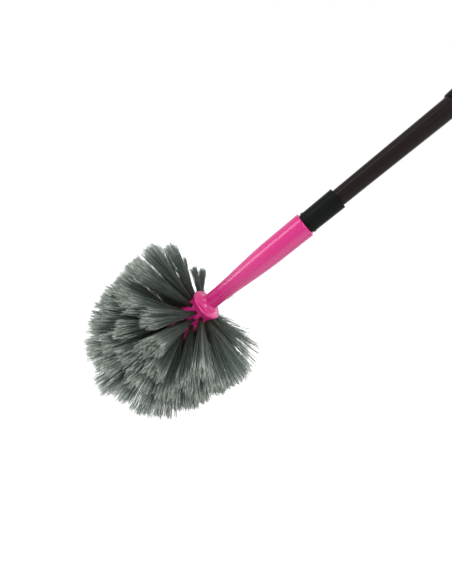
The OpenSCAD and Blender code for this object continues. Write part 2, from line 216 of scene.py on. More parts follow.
# %% [markdown]
# ## Soft-touch grip
# The grip is a sleeve of soft plastic, duller than the ferrule and more grey-green. Hands
# polish it a little, so its roughness drifts over a few centimetres. Its grain is as fine as
# the ferrule's, and is drawn at 0.9 mm for the same reason.

# %% Grip plastic
grip_plastic = plain_finish(
    "moulded_soft_grip",
    noises={"grain": (0.9, 4.0), "handled": (22, 2.0)},
    shades=("handled", "#1f2422", "#2b302e"), gloss=("handled", 0.48, 0.68),
    bumps=[("grain", 0.35, 0.00012)], sockets={"IOR": 1.47, "Specular IOR Level": 0.15})

# %% [markdown]
# ## Plastic-coated steel tube
# The tube is rolled from thin strip and coated with a black plastic film. The film is smooth
# and slightly brown. It was drawn along the tube, so its faint streaks run lengthwise: the
# noise is stretched forty times along Z.

# %% Coated steel
coated_steel = plain_finish(
    "coated_steel_tube",
    noises={"streak": (3.5, 2.0, 40), "dust": (9, 5.0)},
    shades=("streak", "#1b1513", "#221b19"), gloss=("dust", 0.27, 0.3),
    bumps=[("streak", 0.04, 0.0001)], sockets={"IOR": 1.5, "Specular IOR Level": 0.075})

# %% [markdown]
# ## Zinc-plated steel
# The anchor wires, the stud and its nut are bright zinc on steel: a metal with a slightly
# cloudy lustre.

# %% Plated steel
plated_steel = plain_finish(
    "zinc_plated_steel",
    noises={"cloud": (2.5, 4.0)},
    shades=("cloud", "#b4b8bd", "#cdd0d2"), gloss=("cloud", 0.22, 0.42),
    bumps=[], sockets={"Metallic": 1.0})

# %% [markdown]
# ## Natural nylon
# The split sleeve inside the lock is undyed nylon: off-white, waxy, and slightly see-through
# at its edges.

# %% Nylon
nylon = plain_finish(
    "moulded_nylon_natural",
    noises={"cloud": (5, 3.0)},
    shades=("cloud", "#d3d1c6", "#e2e0d8"), gloss=("cloud", 0.35, 0.5),
    bumps=[], sockets={"IOR": 1.53, "Subsurface Weight": 0.2, "Subsurface Scale": 0.0015})

# %% [markdown]
# ## Printed shrink film
# A film is shrunk round the tube above the lock. It is printed in plain bands: a smoky
# clear end, a grey stripe that curves round the tube, a pink field and two grey fields.
# The bands follow the height along the pole, shifted by the way round the tube, and a
# colour ramp with hard steps turns that into print.

# %% Label film
LABEL_TOP = -0.16445        # metres, as the place in the piece is
LABEL_LEN = 0.085
LABEL_SLANT = 9.0           # share of the label that the bands shift for each metre sideways


def fill_ramp(ramp, stops):
    # A new ramp has two colours, and each further one is added
    ramp.elements[0].color = linear(stops[0][1])
    ramp.elements[1].position = stops[1][0]
    ramp.elements[1].color = linear(stops[1][1])
    for position, shade in stops[2:]:
        ramp.elements.new(position).color = linear(shade)


label_print, tree = new_material("printed_shrink_film")
place_in_piece = add_node(tree, "ShaderNodeTexCoord").outputs["Object"]
parts = add_node(tree, "ShaderNodeSeparateXYZ", {0: place_in_piece}).outputs
down = add_node(
    tree, "ShaderNodeMapRange",
    {0: parts["Z"], 1: LABEL_TOP, 2: LABEL_TOP - LABEL_LEN, 3: 0.0, 4: 1.0})
slant = add_node(tree, "ShaderNodeMath", {0: parts["X"], 1: LABEL_SLANT}, operation="MULTIPLY")
shifted = add_node(
    tree, "ShaderNodeMath", {0: down.outputs[0], 1: slant.outputs[0]}, operation="ADD")
bands = add_node(tree, "ShaderNodeValToRGB", {0: shifted.outputs[0]})
bands.color_ramp.interpolation = "CONSTANT"
film_bands = [
    (0.0, "#3c3a3b"), (0.10, "#8f9497"), (0.19, "#d02c7c"), (0.66, "#9da1a4"), (0.92, "#c8cbcd")]
fill_ramp(bands.color_ramp, film_bands)
wrinkle = add_node(
    tree, "ShaderNodeTexNoise", {"Vector": place_in_piece, "Scale": per_mm(6), "Detail": 3.0})
bump = add_node(
    tree, "ShaderNodeBump",
    {"Height": wrinkle.outputs["Fac"], "Strength": 0.2, "Distance": 0.0002})
sheen = add_node(tree, "ShaderNodeMapRange", {0: wrinkle.outputs["Fac"], 3: 0.16, 4: 0.3})
shader = add_node(tree, "ShaderNodeBsdfPrincipled", {
    "Base Color": bands.outputs[0], "Roughness": sheen.outputs[0], "Normal": bump.outputs[0],
    "IOR": 1.54})
add_node(tree, "ShaderNodeOutputMaterial", {0: shader.outputs[0]})
print("material", label_print.name, "with", len(film_bands), "bands")

# %% [markdown]
# ## Flagged bristle
# The bristles are drawn plastic thread in a grey-green dye, and their ends are flagged,
# which means beaten until they split. A split end scatters light, so it looks pale, and the
# colour also paints light and shade along the bristle: paler towards the tip as painted light,
# where the bristles stand apart and shade each other little, and dark and olive at the roots
# as painted shade, where they stand close together. Each bristle carries a map, named
# below, whose V runs from root to tip and whose U is the bristle's own number. The colour
# along a bristle and the strength from one bristle to the next come from that same map.

# %% Bristle material
BRISTLE_MAP = "OFBake"
bristle, tree = new_material("flagged_synthetic_bristle")
uv = add_node(tree, "ShaderNodeUVMap", uv_map=BRISTLE_MAP)
parts = add_node(tree, "ShaderNodeSeparateXYZ", {0: uv.outputs[0]}).outputs
own = add_node(
    tree, "ShaderNodeTexNoise", {"W": parts["X"], "Scale": 31.0, "Detail": 2.0},
    noise_dimensions="1D").outputs["Fac"]
ragged = add_node(tree, "ShaderNodeMapRange", {0: own, 1: 0.3, 2: 0.7, 3: -0.06, 4: 0.06})
along_it = add_node(
    tree, "ShaderNodeMath", {0: parts["Y"], 1: ragged.outputs[0]}, operation="ADD")
shaded_colour_along_bristle = add_node(tree, "ShaderNodeValToRGB", {0: along_it.outputs[0]})
# From root to tip: painted shade at the crowded roots, the dye in the middle, and a pale tip that is
# partly the split ends and partly painted light
painted_root_shade_to_tip_light = [
    (0.0, "#2c281a"), (0.12, "#353326"), (0.30, "#444b43"), (0.72, "#606d64"), (0.90, "#808c84"),
    (1.0, "#bdc5bc")]
fill_ramp(shaded_colour_along_bristle.color_ramp, painted_root_shade_to_tip_light)
strength = add_node(tree, "ShaderNodeMapRange", {0: own, 1: 0.27, 2: 0.73, 3: 0.25, 4: 1.75})
batch = add_node(
    tree, "ShaderNodeVectorMath", {0: shaded_colour_along_bristle.outputs[0], 3: strength.outputs[0]},
    operation="SCALE")
shader = add_node(tree, "ShaderNodeBsdfPrincipled", {
    "Base Color": batch.outputs[0], "Roughness": 0.42, "IOR": 1.48, "Specular IOR Level": 0.4})
add_node(tree, "ShaderNodeOutputMaterial", {0: shader.outputs[0]})
print("material", bristle.name, "with", len(painted_root_shade_to_tip_light), "shades from root to tip")

# %% [markdown]
# ## Turned pieces
# Tubes, collar, ferrule, grip and socket are all round, so each is one outline turned about
# the pole. Blender can do that with a Screw modifier, but a few lines of mesh code keep the
# poles closed and the faces turned outwards. Real edges are never sharp, so the corners of
# the outline are rounded first, and only then is it turned.

# %% Outlines and turning
MM = 0.001
AROUND = 96                 # faces round a turned piece: flats under 0.8 mm on the pole
CORNER = radians(25)        # an outline that turns by less than this is a curve
SHARP = radians(38)         # edges steeper than this stay sharp in the shading


def arc(x, y, r, first, last, steps=8):
    angles = [radians(first + (last - first) * i / steps) for i in range(steps + 1)]
    return [(x + r * cos(a), y + r * sin(a)) for a in angles]


def soften(outline, radius, steps=4):
    # Rounds each corner of the outline, except on the axis
    softened = []
    for i, here in enumerate(outline):
        before = Vector(outline[i - 1]) - Vector(here)
        after = Vector(outline[(i + 1) % len(outline)]) - Vector(here)
        turn = pi - before.angle(after, pi)
        if here[0] == 0 or abs(turn) < CORNER:
            softened.append(here)
            continue
        cut = min(radius, 0.45 * before.length, 0.45 * after.length)
        start = Vector(here) + before.normalized() * cut
        end = Vector(here) + after.normalized() * cut
        for step in range(steps + 1):
            t = step / steps
            point = (1 - t) ** 2 * start + 2 * t * (1 - t) * Vector(here) + t ** 2 * end
            softened.append((point.x, point.y))
    return softened


def tube_outline(inside, outside, low, high):
    return [(inside, low), (outside, low), (outside, high), (inside, high)]


def closed_mesh(name, body):
    # Makes the mesh of a finished body, smoothly shaded
    mesh = bpy.data.meshes.new(name)
    body.to_mesh(mesh)
    body.free()
    mesh.shade_smooth()
    mesh.set_sharp_from_angle(angle=SHARP)
    return mesh


def turned_mesh(name, outline, z0=0.0, around=AROUND):
    # The outline is a closed loop of (radius, height) in millimetres above z0
    body = bmesh.new()
    rings = []
    for radius, height in outline:
        z = (z0 + height) * MM
        if radius == 0:
            rings.append([body.verts.new((0, 0, z))])
        else:
            angles = [2 * pi * i / around for i in range(around)]
            rings.append([
                body.verts.new((radius * MM * cos(a), radius * MM * sin(a), z)) for a in angles])
    for i, low in enumerate(rings):
        high = rings[(i + 1) % len(rings)]
        if len(low) == 1 and len(high) == 1:
            continue
        for j in range(around):
            k = (j + 1) % around
            corners = [
                low[j % len(low)], low[k % len(low)], high[k % len(high)], high[j % len(high)]]
            body.faces.new(list(dict.fromkeys(corners)))    # a ring on the axis has one corner
    if body.calc_volume(signed=True) < 0:
        bmesh.ops.reverse_faces(body, faces=body.faces)
    return closed_mesh(name, body)


def finish_piece(name, mesh, material, slot, body, *nodes):
    # Puts a mesh into the scene as a piece that stands for CAD nodes and rides on a body
    piece = bpy.data.objects.new(name, mesh)
    scene.collection.objects.link(piece)
    if material is not None:
        mesh.materials.clear()
        mesh.materials.append(material)
    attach(piece, body)
    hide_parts(*nodes)
    triangles = sum(len(p.vertices) - 2 for p in mesh.polygons)
    print("piece", name, "on", body, "with", triangles, "triangles")


print("a turned piece has", AROUND, "faces round it")


# %% [markdown]
# ## Tubes
# Both tubes are plain, with half a millimetre of wall and ends rolled over slightly by the
# saw and the coating. The fatter one carries the grip and the label, and the thinner one
# slides in it.

# %% Tubes
TUBE_EDGE = 0.2
OUTER_TOP, OUTER_LEN = -34.45, 520
INNER_TOP, INNER_LEN = -236.75, 480
outer_outline = tube_outline(10.5, 11.0, OUTER_TOP - OUTER_LEN, OUTER_TOP)
finish_piece(
    "outer_tube_coated", turned_mesh("outer_tube_coated", soften(outer_outline, TUBE_EDGE)),
    coated_steel, "coated_steel", "outer_pole", "outer_tube")
inner_outline = tube_outline(9.0, 9.5, INNER_TOP - INNER_LEN, INNER_TOP)
finish_piece(
    "inner_tube_coated", turned_mesh("inner_tube_coated", soften(inner_outline, TUBE_EDGE)),
    coated_steel, "coated_steel", "inner_pole", "inner_tube")

# %% [markdown]
# ## Label
# The film is 0.15 mm thick and lies on the outer tube, so its own edge throws a thin line
# of shadow. The print is all in its material.

# %% Label
film_outline = tube_outline(11.05, 11.2, (LABEL_TOP - LABEL_LEN) / MM, LABEL_TOP / MM)
finish_piece(
    "label_film", turned_mesh("label_film", soften(film_outline, 0.05, 2)),
    label_print, "label_film", "outer_pole", "label_sleeve")

# %% [markdown]
# ## Collar
# The collar covers the sawn end of the outer tube and guides the thinner tube. It has a
# short nose and a bevel where it steps up over the outer tube.

# %% Collar
COLLAR_LOW = -562.45
collar_outline = [
    (9.55, 0), (11.1, 0), (11.65, 7), (12.65, 9), (12.65, 36), (11.05, 36), (11.05, 8), (9.55, 8)]
finish_piece(
    "tube_collar_moulded",
    turned_mesh("tube_collar_moulded", soften(collar_outline, 0.6), COLLAR_LOW),
    black_plastic, "black_plastic", "outer_pole", "tube_collar")

# %% [markdown]
# ## Grip sleeve
# The sleeve swells to its fullest a little above its middle and draws in round the neck of
# the cap. The swelling is a quarter of a sine wave up, and the shoulder a quarter of a
# cosine down, so no corner shows between them.

# %% Grip
GRIP_LOW = -74.45
GRIP_LEN = 52
CURVE_STEPS = 16
full_at = 0.58 * GRIP_LEN
mouth_at = 3
mouth_r, full_r, shoulder_r = 12.25, 12.8, 11.05
quarter = [radians(90 * i / CURVE_STEPS) for i in range(CURVE_STEPS + 1)]
swelling = [
    (mouth_r + (full_r - mouth_r) * sin(a), mouth_at + (full_at - mouth_at) * i / CURVE_STEPS)
    for i, a in enumerate(quarter)]
shoulder = [
    (shoulder_r + (full_r - shoulder_r) * cos(a), full_at + (GRIP_LEN - full_at) * i / CURVE_STEPS)
    for i, a in enumerate(quarter)][1:]
grip_outline = [(11.05, 0), (11.45, 0)] + arc(mouth_r - 0.8, 0.8, 0.8, -90, 0, 6)[1:]
grip_outline += swelling + shoulder + [(9.75, GRIP_LEN), (9.75, 40), (11.05, 40)]
finish_piece(
    "grip_sleeve_moulded",
    turned_mesh("grip_sleeve_moulded", soften(grip_outline, 0.35), GRIP_LOW),
    grip_plastic, "grip_plastic", "outer_pole", "grip_sleeve")

# %% [markdown]
# ## Ferrule
# The ferrule is a sleeve over the end of the thin tube, with a small ring and a short neck
# that meets the head, and inside the head it carries a coarse thread. The CAD has plain
# rings for the thread, and here it is a real helix: one ridge swept round the core, drawn
# out to nothing at both ends, as a mould makes it.

# %% Ferrule and its thread
FLANGE = FLANGE_Z / MM
ferrule_outline = [
    (7.4, 140.3), (9.2, 140.3), (9.6, 140.7), (9.6, 162.3), (11.75, 162.3), (11.75, 164.0),
    (12.8, 164.0), (12.8, 167.0), (12.15, 167.0), (12.15, 203.3), (9.55, 203.3), (9.55, 166.0),
    (7.4, 166.0)]
finish_piece(
    "ferrule_sleeve", turned_mesh("ferrule_sleeve", soften(ferrule_outline, 0.45), FLANGE),
    black_plastic, "black_plastic", "inner_pole", "pole_ferrule")

CORE_R = 9.6
THREAD_START = 142.6
THREAD_PITCH = 4.0
THREAD_TURNS = 4.2
THREAD_FADE = 0.5           # turns over which the ridge grows and dies away
STEPS_IN_TURN = 40
ridge = [(-0.3, -1.4), (0.0, -1.4), (1.1, -0.5), (1.1, 0.5), (0.0, 1.4), (-0.3, 1.4)]
helix = bmesh.new()
sections = []
for step in range(int(THREAD_TURNS * STEPS_IN_TURN) + 1):
    turn = step / STEPS_IN_TURN
    grown_to = max(0.02, min(1.0, turn / THREAD_FADE, (THREAD_TURNS - turn) / THREAD_FADE))
    angle = 2 * pi * turn
    ring = []
    for out, up in ridge:
        radius = (CORE_R + (out * grown_to if out > 0 else out)) * MM
        rise = up * (0.3 + 0.7 * grown_to)
        height = (FLANGE + THREAD_START + turn * THREAD_PITCH + rise) * MM
        ring.append(helix.verts.new((radius * cos(angle), radius * sin(angle), height)))
    sections.append(ring)
for low, high in zip(sections, sections[1:]):
    for i in range(len(ridge)):
        j = (i + 1) % len(ridge)
        helix.faces.new((low[i], low[j], high[j], high[i]))
helix.faces.new(sections[0])
helix.faces.new(list(reversed(sections[-1])))
bmesh.ops.recalc_face_normals(helix, faces=helix.faces)
finish_piece(
    "ferrule_thread", closed_mesh("ferrule_thread", helix),
    black_plastic, "black_plastic", "inner_pole", "pole_ferrule")

# %% [markdown]
# ## Socket
# The socket is the pink cone that takes the pole. From its rounded mouth it is almost
# straight, then it draws in to a slim neck and flares through a fillet into a flange with
# a fully rounded rim. It is hollow: a bore for the thread, a cavity below it, and a small
# hole from underneath for the spigot of the block.

# %% Socket
CONE_STEPS = 32
SOCKET_AROUND = 128


def swell(share):
    # The cone's own curve: nearly straight, a little full in its upper half
    return share - 0.05 * sin(2 * pi * share) + 0.04 * sin(pi * share)


neck_r, belly_r, socket_mouth_r, fillet_r = 10.9, 14.8, 14.6, 8.6
neck_at, belly_at, socket_top = 24, 110, 162
mouth_edge = 1.8
cone = [
    (neck_r + (belly_r - neck_r) * swell(i / CONE_STEPS),
     neck_at + (belly_at - neck_at) * i / CONE_STEPS)
    for i in range(CONE_STEPS + 1)]
socket_outline = (
    [(0, 9.8), (8.05, 9.8), (8.05, -2.5)]
    + arc(19.8, -0.3, 2.2, -90, 0) + arc(19.8, 0.3, 2.2, 0, 90)
    + arc(neck_r + fillet_r, 2.5 + fillet_r, fillet_r, -90, -180, 16)
    + cone
    + [(socket_mouth_r, 154)]
    + arc(socket_mouth_r - mouth_edge, socket_top - mouth_edge, mouth_edge, 0, 90)
    + [(10.85, socket_top), (10.85, 138), (7.5, 138), (7.5, 12.8), (0, 12.8)])
finish_piece(
    "socket_moulded",
    turned_mesh("socket_moulded", soften(socket_outline, 0.4), FLANGE, SOCKET_AROUND),
    pink_plastic, "pink_plastic", "brush_head", "head_socket")

# %% [markdown]
# ## Hang cap
# The cap changes from round to flat, which no turning can make. Its CAD mesh is merged from
# loose triangles, remeshed into small even cells and smoothed, so that every edge gets the
# soft rounding that the mould gives it.

# %% Hang cap
def evened(name, mesh, cell, smoothing):
    # Remeshes a closed mesh into even cells and rounds its edges
    holder = bpy.data.objects.new(name, mesh)
    scene.collection.objects.link(holder)
    remesh = holder.modifiers.new("Remesh", "REMESH")
    remesh.mode = "VOXEL"
    remesh.voxel_size = cell
    smooth = holder.modifiers.new("Smooth", "SMOOTH")
    smooth.factor = 0.5
    smooth.iterations = smoothing
    depsgraph = bpy.context.evaluated_depsgraph_get()
    result = bpy.data.meshes.new_from_object(holder.evaluated_get(depsgraph))
    bpy.data.objects.remove(holder)
    result.name = name
    result.shade_smooth()
    return result


merged = bmesh.new()
merged.from_mesh(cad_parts["hang_cap"].data)
bmesh.ops.remove_doubles(merged, verts=merged.verts, dist=1e-6)
cap_mesh = bpy.data.meshes.new("hang_cap_merged")
merged.to_mesh(cap_mesh)
merged.free()
CAP_CELL = 0.0005
finish_piece(
    "hang_cap_moulded", evened("hang_cap_moulded", cap_mesh, CAP_CELL, 6),
    pink_plastic, "pink_plastic", "outer_pole", "hang_cap")

# %% [markdown]
# ## Where the tufts stand
# The block has eight rings of ten tufts, each ring turned half a step from the last, and
# three rings on its rounded end. Each ring leans a little further forward. Real tufts are
# never set quite true, so each gets its own small error from a fixed seed. In use some get
# pushed over, pressed together or spread: those near the flange that the photograph shows
# so are listed with their own turn, lean and fan. A tuft is noted as its root, its
# direction, the length of its bristles and how far it fans out.

# %% Tuft layout
BLOCK_R = 19.0
FIRST_RING = 10.5
RING_PITCH = 9.3
RINGS = 8
RING_TUFTS = 10
FIRST_LEAN, LAST_LEAN = -4, 27      # degrees forward from straight out
DOME_S = -(FIRST_RING + (RINGS - 1) * RING_PITCH + RING_PITCH / 2)
DOME_RINGS = [(8, 42), (6, 64), (1, 90)]    # number of tufts and their lean
DOME_TURN = 5
DOME_FAN = 1.25
BRISTLE_LEN = 93.0
LONGER_FORWARD = 5.0        # the tufts towards the end were trimmed a little longer
WIDER_FORWARD = 0.2         # and they fan out by this share more
EVEN_RINGS = 4              # the rings before that change begins
chance = random.Random(11)

# Ring and place round the pole in degrees: change of turn, change of lean, fan
PUSHED_OVER = {
    (1, 18): (6, 10, 2.2), (1, 54): (2, 24, 2.0), (1, 90): (0, 2, 0.55), (1, 126): (6, 12, 0.4),
    (1, 234): (-6, 0, 1.1), (1, 270): (-11, 0, 0.8), (1, 342): (0, 4, 1.8),
    (2, 0): (0, 0, 1.7), (2, 36): (12, 6, 1.8), (2, 72): (0, 26, 0.8), (2, 108): (15, 0, 0.38),
    (2, 144): (4, 2, 0.9), (2, 252): (-12, 4, 0.9), (2, 288): (-14, 2, 0.8),
    (3, 54): (0, 10, 0.9), (3, 90): (0, 12, 0.9), (3, 126): (6, 12, 0.9)}


def tuft(angle, lean, root, length, fan):
    # Angles in degrees: round the pole, and forward from straight out
    swing = radians(angle + chance.uniform(-2.2, 2.2))
    tip = radians(lean + chance.uniform(-2.0, 2.0))
    aim = Vector((cos(tip) * cos(swing), cos(tip) * sin(swing), -sin(tip)))
    return {
        "root": Vector(root) * MM, "aim": aim, "reach": (length + chance.uniform(-2.5, 1.0)) * MM,
        "splay": fan * chance.uniform(0.75, 1.3)}


tuft_rings = {}
for k in range(1, RINGS + 1):
    lean = FIRST_LEAN + (LAST_LEAN - FIRST_LEAN) * (k - 1) / (RINGS - 1)
    turned = (k % 2) * 180 / RING_TUFTS
    height = FLANGE - (FIRST_RING + (k - 1) * RING_PITCH)
    forward = max(0, k - EVEN_RINGS) / (RINGS - EVEN_RINGS)
    ring = []
    for i in range(RING_TUFTS):
        angle = 360 * i / RING_TUFTS + turned
        more_turn, more_lean, fan = PUSHED_OVER.get((k, round(angle)), (0, 0, 1.0))
        root = (BLOCK_R * cos(radians(angle)), BLOCK_R * sin(radians(angle)), height)
        ring.append(tuft(
            angle + more_turn, lean + more_lean, root, BRISTLE_LEN + LONGER_FORWARD * forward,
            fan * (1.0 + WIDER_FORWARD * forward)))
    tuft_rings[f"tuft_ring_{k}"] = ring
end_tufts = []
for count, lean in DOME_RINGS:
    for i in range(count):
        angle = 360 * i / count + DOME_TURN
        out = BLOCK_R * cos(radians(lean))
        root = (
            out * cos(radians(angle)), out * sin(radians(angle)),
            FLANGE + DOME_S - BLOCK_R * sin(radians(lean)))
        end_tufts.append(tuft(angle, lean, root, BRISTLE_LEN + LONGER_FORWARD, DOME_FAN))
tuft_rings["tuft_end"] = end_tufts
print("tufts", {name: len(tufts) for name, tufts in tuft_rings.items()})

# %% [markdown]
# ## Drilled block
# The block shows between the tufts near the flange, with a hole for each tuft. A turned
# body gets its holes from a boolean with one short rod for each tuft, and the same
# remeshing as the cap then breaks the rims of the holes as the drill and the wear do.

# %% Drilled block
HOLE_R = 2.7
HOLE_DEEP = 7.0
HOLE_OUT = 4.0              # how far the rods stand out of the block
BLOCK_CELL = 0.00062
block_outline = [
    (0, 9.5), (7.9, 9.5), (7.9, -2.5), (17.5, -2.5), (17.5, -3.7), (BLOCK_R, -3.7)]
block_outline += arc(0, DOME_S, BLOCK_R, 0, -90, 14)[:-1] + [(0, DOME_S - BLOCK_R)]
block = bpy.data.objects.new(
    "drilled_block_blank", turned_mesh("drilled_block_blank", block_outline, FLANGE))
scene.collection.objects.link(block)
rods = bmesh.new()
for tufts in tuft_rings.values():
    for one in tufts:
        turn = one["aim"].to_track_quat("Z", "Y").to_matrix().to_4x4()
        middle = Matrix.Translation(one["root"] + one["aim"] * (HOLE_OUT - HOLE_DEEP) / 2 * MM)
        bmesh.ops.create_cone(
            rods, cap_ends=True, segments=16, radius1=HOLE_R * MM, radius2=HOLE_R * MM,
            depth=(HOLE_DEEP + HOLE_OUT) * MM, matrix=middle @ turn)
rod_mesh = bpy.data.meshes.new("tuft_hole_rods")
rods.to_mesh(rod_mesh)
rods.free()
rod_set = bpy.data.objects.new("tuft_hole_rods", rod_mesh)
scene.collection.objects.link(rod_set)
drill = block.modifiers.new("Drill", "BOOLEAN")
drill.operation = "DIFFERENCE"
drill.solver = "EXACT"
drill.use_self = True
drill.object = rod_set
drilled = bpy.data.meshes.new_from_object(
    block.evaluated_get(bpy.context.evaluated_depsgraph_get()))
bpy.data.objects.remove(block)
bpy.data.objects.remove(rod_set)
finish_piece(
    "drilled_block", evened("drilled_block", drilled, BLOCK_CELL, 3),
    pink_plastic, "pink_plastic", "brush_head", "tuft_block")

# %% [markdown]
# ## The tree that grows bristles
# A tuft has 180 bristles, so Geometry Nodes grow them from one point per tuft. The point
# is copied once for each bristle, and each copy gets its place in the hole, a bundle that
# it leans with, its own length and a slight bend. Bundles matter: bristles cling together
# in small locks, and that makes the ragged brush-like ends. Each bristle is a line that is
# moved into place and given a three-sided section, and a second, thinner line splits off
# near its tip, which is the flag. Lengths are in metres. The fan, the looseness, the stray,
# the unevenness and the start of the flag are shares of the bristle's length, and the width
# at the tip is a share of its width.

# %% Bristle tree
grow = bpy.data.node_groups.new("grow_bristles", "GeometryNodeTree")
grow.is_modifier = True
grow.interface.new_socket("Geometry", in_out="OUTPUT", socket_type="NodeSocketGeometry")
grow.interface.new_socket("Geometry", in_out="INPUT", socket_type="NodeSocketGeometry")
BRISTLE_SIZES = {
    "Bristles in a tuft": ("NodeSocketInt", 180),
    "Bundles in a tuft": ("NodeSocketInt", 30),
    "Tuft radius": ("NodeSocketFloat", 0.0021),
    "Sunk into hole": ("NodeSocketFloat", 0.005),
    "Fan of bundles": ("NodeSocketFloat", 0.142),
    "Looseness in bundle": ("NodeSocketFloat", 0.011),
    "Stray": ("NodeSocketFloat", 0.010),
    "Bend": ("NodeSocketFloat", 0.0022),
    "Uneven length": ("NodeSocketFloat", 0.055),
    "Bristle width": ("NodeSocketFloat", 0.00056),
    "Width at tip": ("NodeSocketFloat", 0.65),
    "Flag starts": ("NodeSocketFloat", 0.84),
    "Flag opening": ("NodeSocketFloat", 0.0016),
    "Seed": ("NodeSocketInt", 1),
    "Material": ("NodeSocketMaterial", None),
}
for name, (kind, value) in BRISTLE_SIZES.items():
    socket = grow.interface.new_socket(name, in_out="INPUT", socket_type=kind)
    if value is not None:
        socket.default_value = value
size = add_node(grow, "NodeGroupInput").outputs
points = add_node(grow, "GeometryNodeMeshToPoints", {0: size["Geometry"]}).outputs[0]
bristle_points = add_node(
    grow, "GeometryNodeDuplicateElements", {0: points, 2: size["Bristles in a tuft"]},
    domain="POINT").outputs[0]
laid_out = {
    name: add_node(grow, "GeometryNodeInputNamedAttribute", {0: name}, data_type=kind).outputs[0]
    for name, kind in (
        ("aim", "FLOAT_VECTOR"), ("across", "FLOAT_VECTOR"), ("reach", "FLOAT"),
        ("splay", "FLOAT"), ("number", "FLOAT"))}
print("bristle tree has", len(BRISTLE_SIZES), "sizes")

# %% [markdown]
# Random numbers come from a seed and an identity. A bristle's own numbers use its index,
# and a bundle's numbers use the tuft's number and the bundle's, so that all bristles of one
# bundle get the same lean.

# %% Chance in the tree
BUNDLE_NUMBERS = 64.0       # more than a tuft has bundles, so that no two bundles share one
seeds = {
    name: add_node(
        grow, "ShaderNodeMath", {0: size["Seed"], 1: 17.0 * i + 3}, operation="ADD").outputs[0]
    for i, name in enumerate((
        "bundle", "own turn", "own out", "bundle turn", "bundle out", "stray", "bend", "length",
        "tone", "flag", "bundle length"))}
pick = add_node(
    grow, "FunctionNodeRandomValue", {8: seeds["bundle"]}, data_type="FLOAT").outputs[1]
picked = add_node(
    grow, "ShaderNodeMath", {0: pick, 1: size["Bundles in a tuft"]}, operation="MULTIPLY")
bundle = add_node(grow, "ShaderNodeMath", {0: picked.outputs[0]}, operation="FLOOR")
bundle_id = add_node(
    grow, "ShaderNodeMath", {0: laid_out["number"], 1: BUNDLE_NUMBERS, 2: bundle.outputs[0]},
    operation="MULTIPLY_ADD").outputs[0]

# Each number has its seed, its highest value, and whose it is
of_bristle, of_bundle = {}, {7: bundle_id}
lot = {
    name: add_node(
        grow, "FunctionNodeRandomValue", {3: highest, 8: seeds[seed], **whose},
        data_type="FLOAT").outputs[1]
    for name, seed, highest, whose in (
        ("own turn", "own turn", 2 * pi, of_bristle), ("own out", "own out", 1.0, of_bristle),
        ("bundle turn", "bundle turn", 2 * pi, of_bundle),
        ("bundle out", "bundle out", 1.0, of_bundle),
        ("own cut", "length", 1.0, of_bristle), ("bundle cut", "bundle length", 1.0, of_bundle),
        ("own tone", "tone", 0.2, of_bristle), ("bundle tone", "tone", 0.8, of_bundle))}
any_way = {
    name: add_node(
        grow, "FunctionNodeRandomValue", {0: (-1, -1, -1), 1: (1, 1, 1), 8: seeds[name]},
        data_type="FLOAT_VECTOR").outputs[0]
    for name in ("stray", "bend", "flag")}

# A spot in the round of the tuft for each bristle and for each bundle
beside = add_node(
    grow, "ShaderNodeVectorMath", {0: laid_out["aim"], 1: laid_out["across"]},
    operation="CROSS_PRODUCT").outputs[0]
spots = {}
for who in ("own", "bundle"):
    out = add_node(grow, "ShaderNodeMath", {0: lot[who + " out"]}, operation="SQRT")
    sides = {}
    for i, (wave, side) in enumerate((("COSINE", laid_out["across"]), ("SINE", beside))):
        share = add_node(grow, "ShaderNodeMath", {0: lot[who + " turn"]}, operation=wave)
        reach = add_node(
            grow, "ShaderNodeMath", {0: share.outputs[0], 1: out.outputs[0]}, operation="MULTIPLY")
        sides[i] = add_node(
            grow, "ShaderNodeVectorMath", {0: side, 3: reach.outputs[0]},
            operation="SCALE").outputs[0]
    spots[who] = add_node(grow, "ShaderNodeVectorMath", sides, operation="ADD").outputs[0]
print("seeds", len(seeds), "and random numbers", len(lot) + len(any_way) + 1)

# %% [markdown]
# From these come the root of each bristle, the way it goes with its full length, the bend
# that it takes, and the sideways opening of its flag. They are stored on the points by name.

# %% Root, way, bend and flag
fan = add_node(
    grow, "ShaderNodeMath", {0: size["Fan of bundles"], 1: laid_out["splay"]},
    operation="MULTIPLY")
step = {
    name: add_node(
        grow, "ShaderNodeVectorMath", {0: arrow, 3: factor}, operation="SCALE").outputs[0]
    for name, arrow, factor in (
        ("aside", spots["own"], size["Tuft radius"]),
        ("sunk", laid_out["aim"], size["Sunk into hole"]),
        ("with bundle", spots["bundle"], fan.outputs[0]),
        ("loose", spots["own"], size["Looseness in bundle"]),
        ("stray", any_way["stray"], size["Stray"]),
        ("bend", any_way["bend"], size["Bend"]),
        ("flag", any_way["flag"], size["Flag opening"]))}
here = add_node(grow, "GeometryNodeInputPosition").outputs[0]
in_hole = add_node(grow, "ShaderNodeVectorMath", {0: here, 1: step["aside"]}, operation="ADD")
root = add_node(
    grow, "ShaderNodeVectorMath", {0: in_hole.outputs[0], 1: step["sunk"]},
    operation="SUBTRACT").outputs[0]

way = laid_out["aim"]
for lean_part in ("with bundle", "loose", "stray"):
    way = add_node(
        grow, "ShaderNodeVectorMath", {0: way, 1: step[lean_part]}, operation="ADD").outputs[0]
way = add_node(grow, "ShaderNodeVectorMath", {0: way}, operation="NORMALIZE").outputs[0]

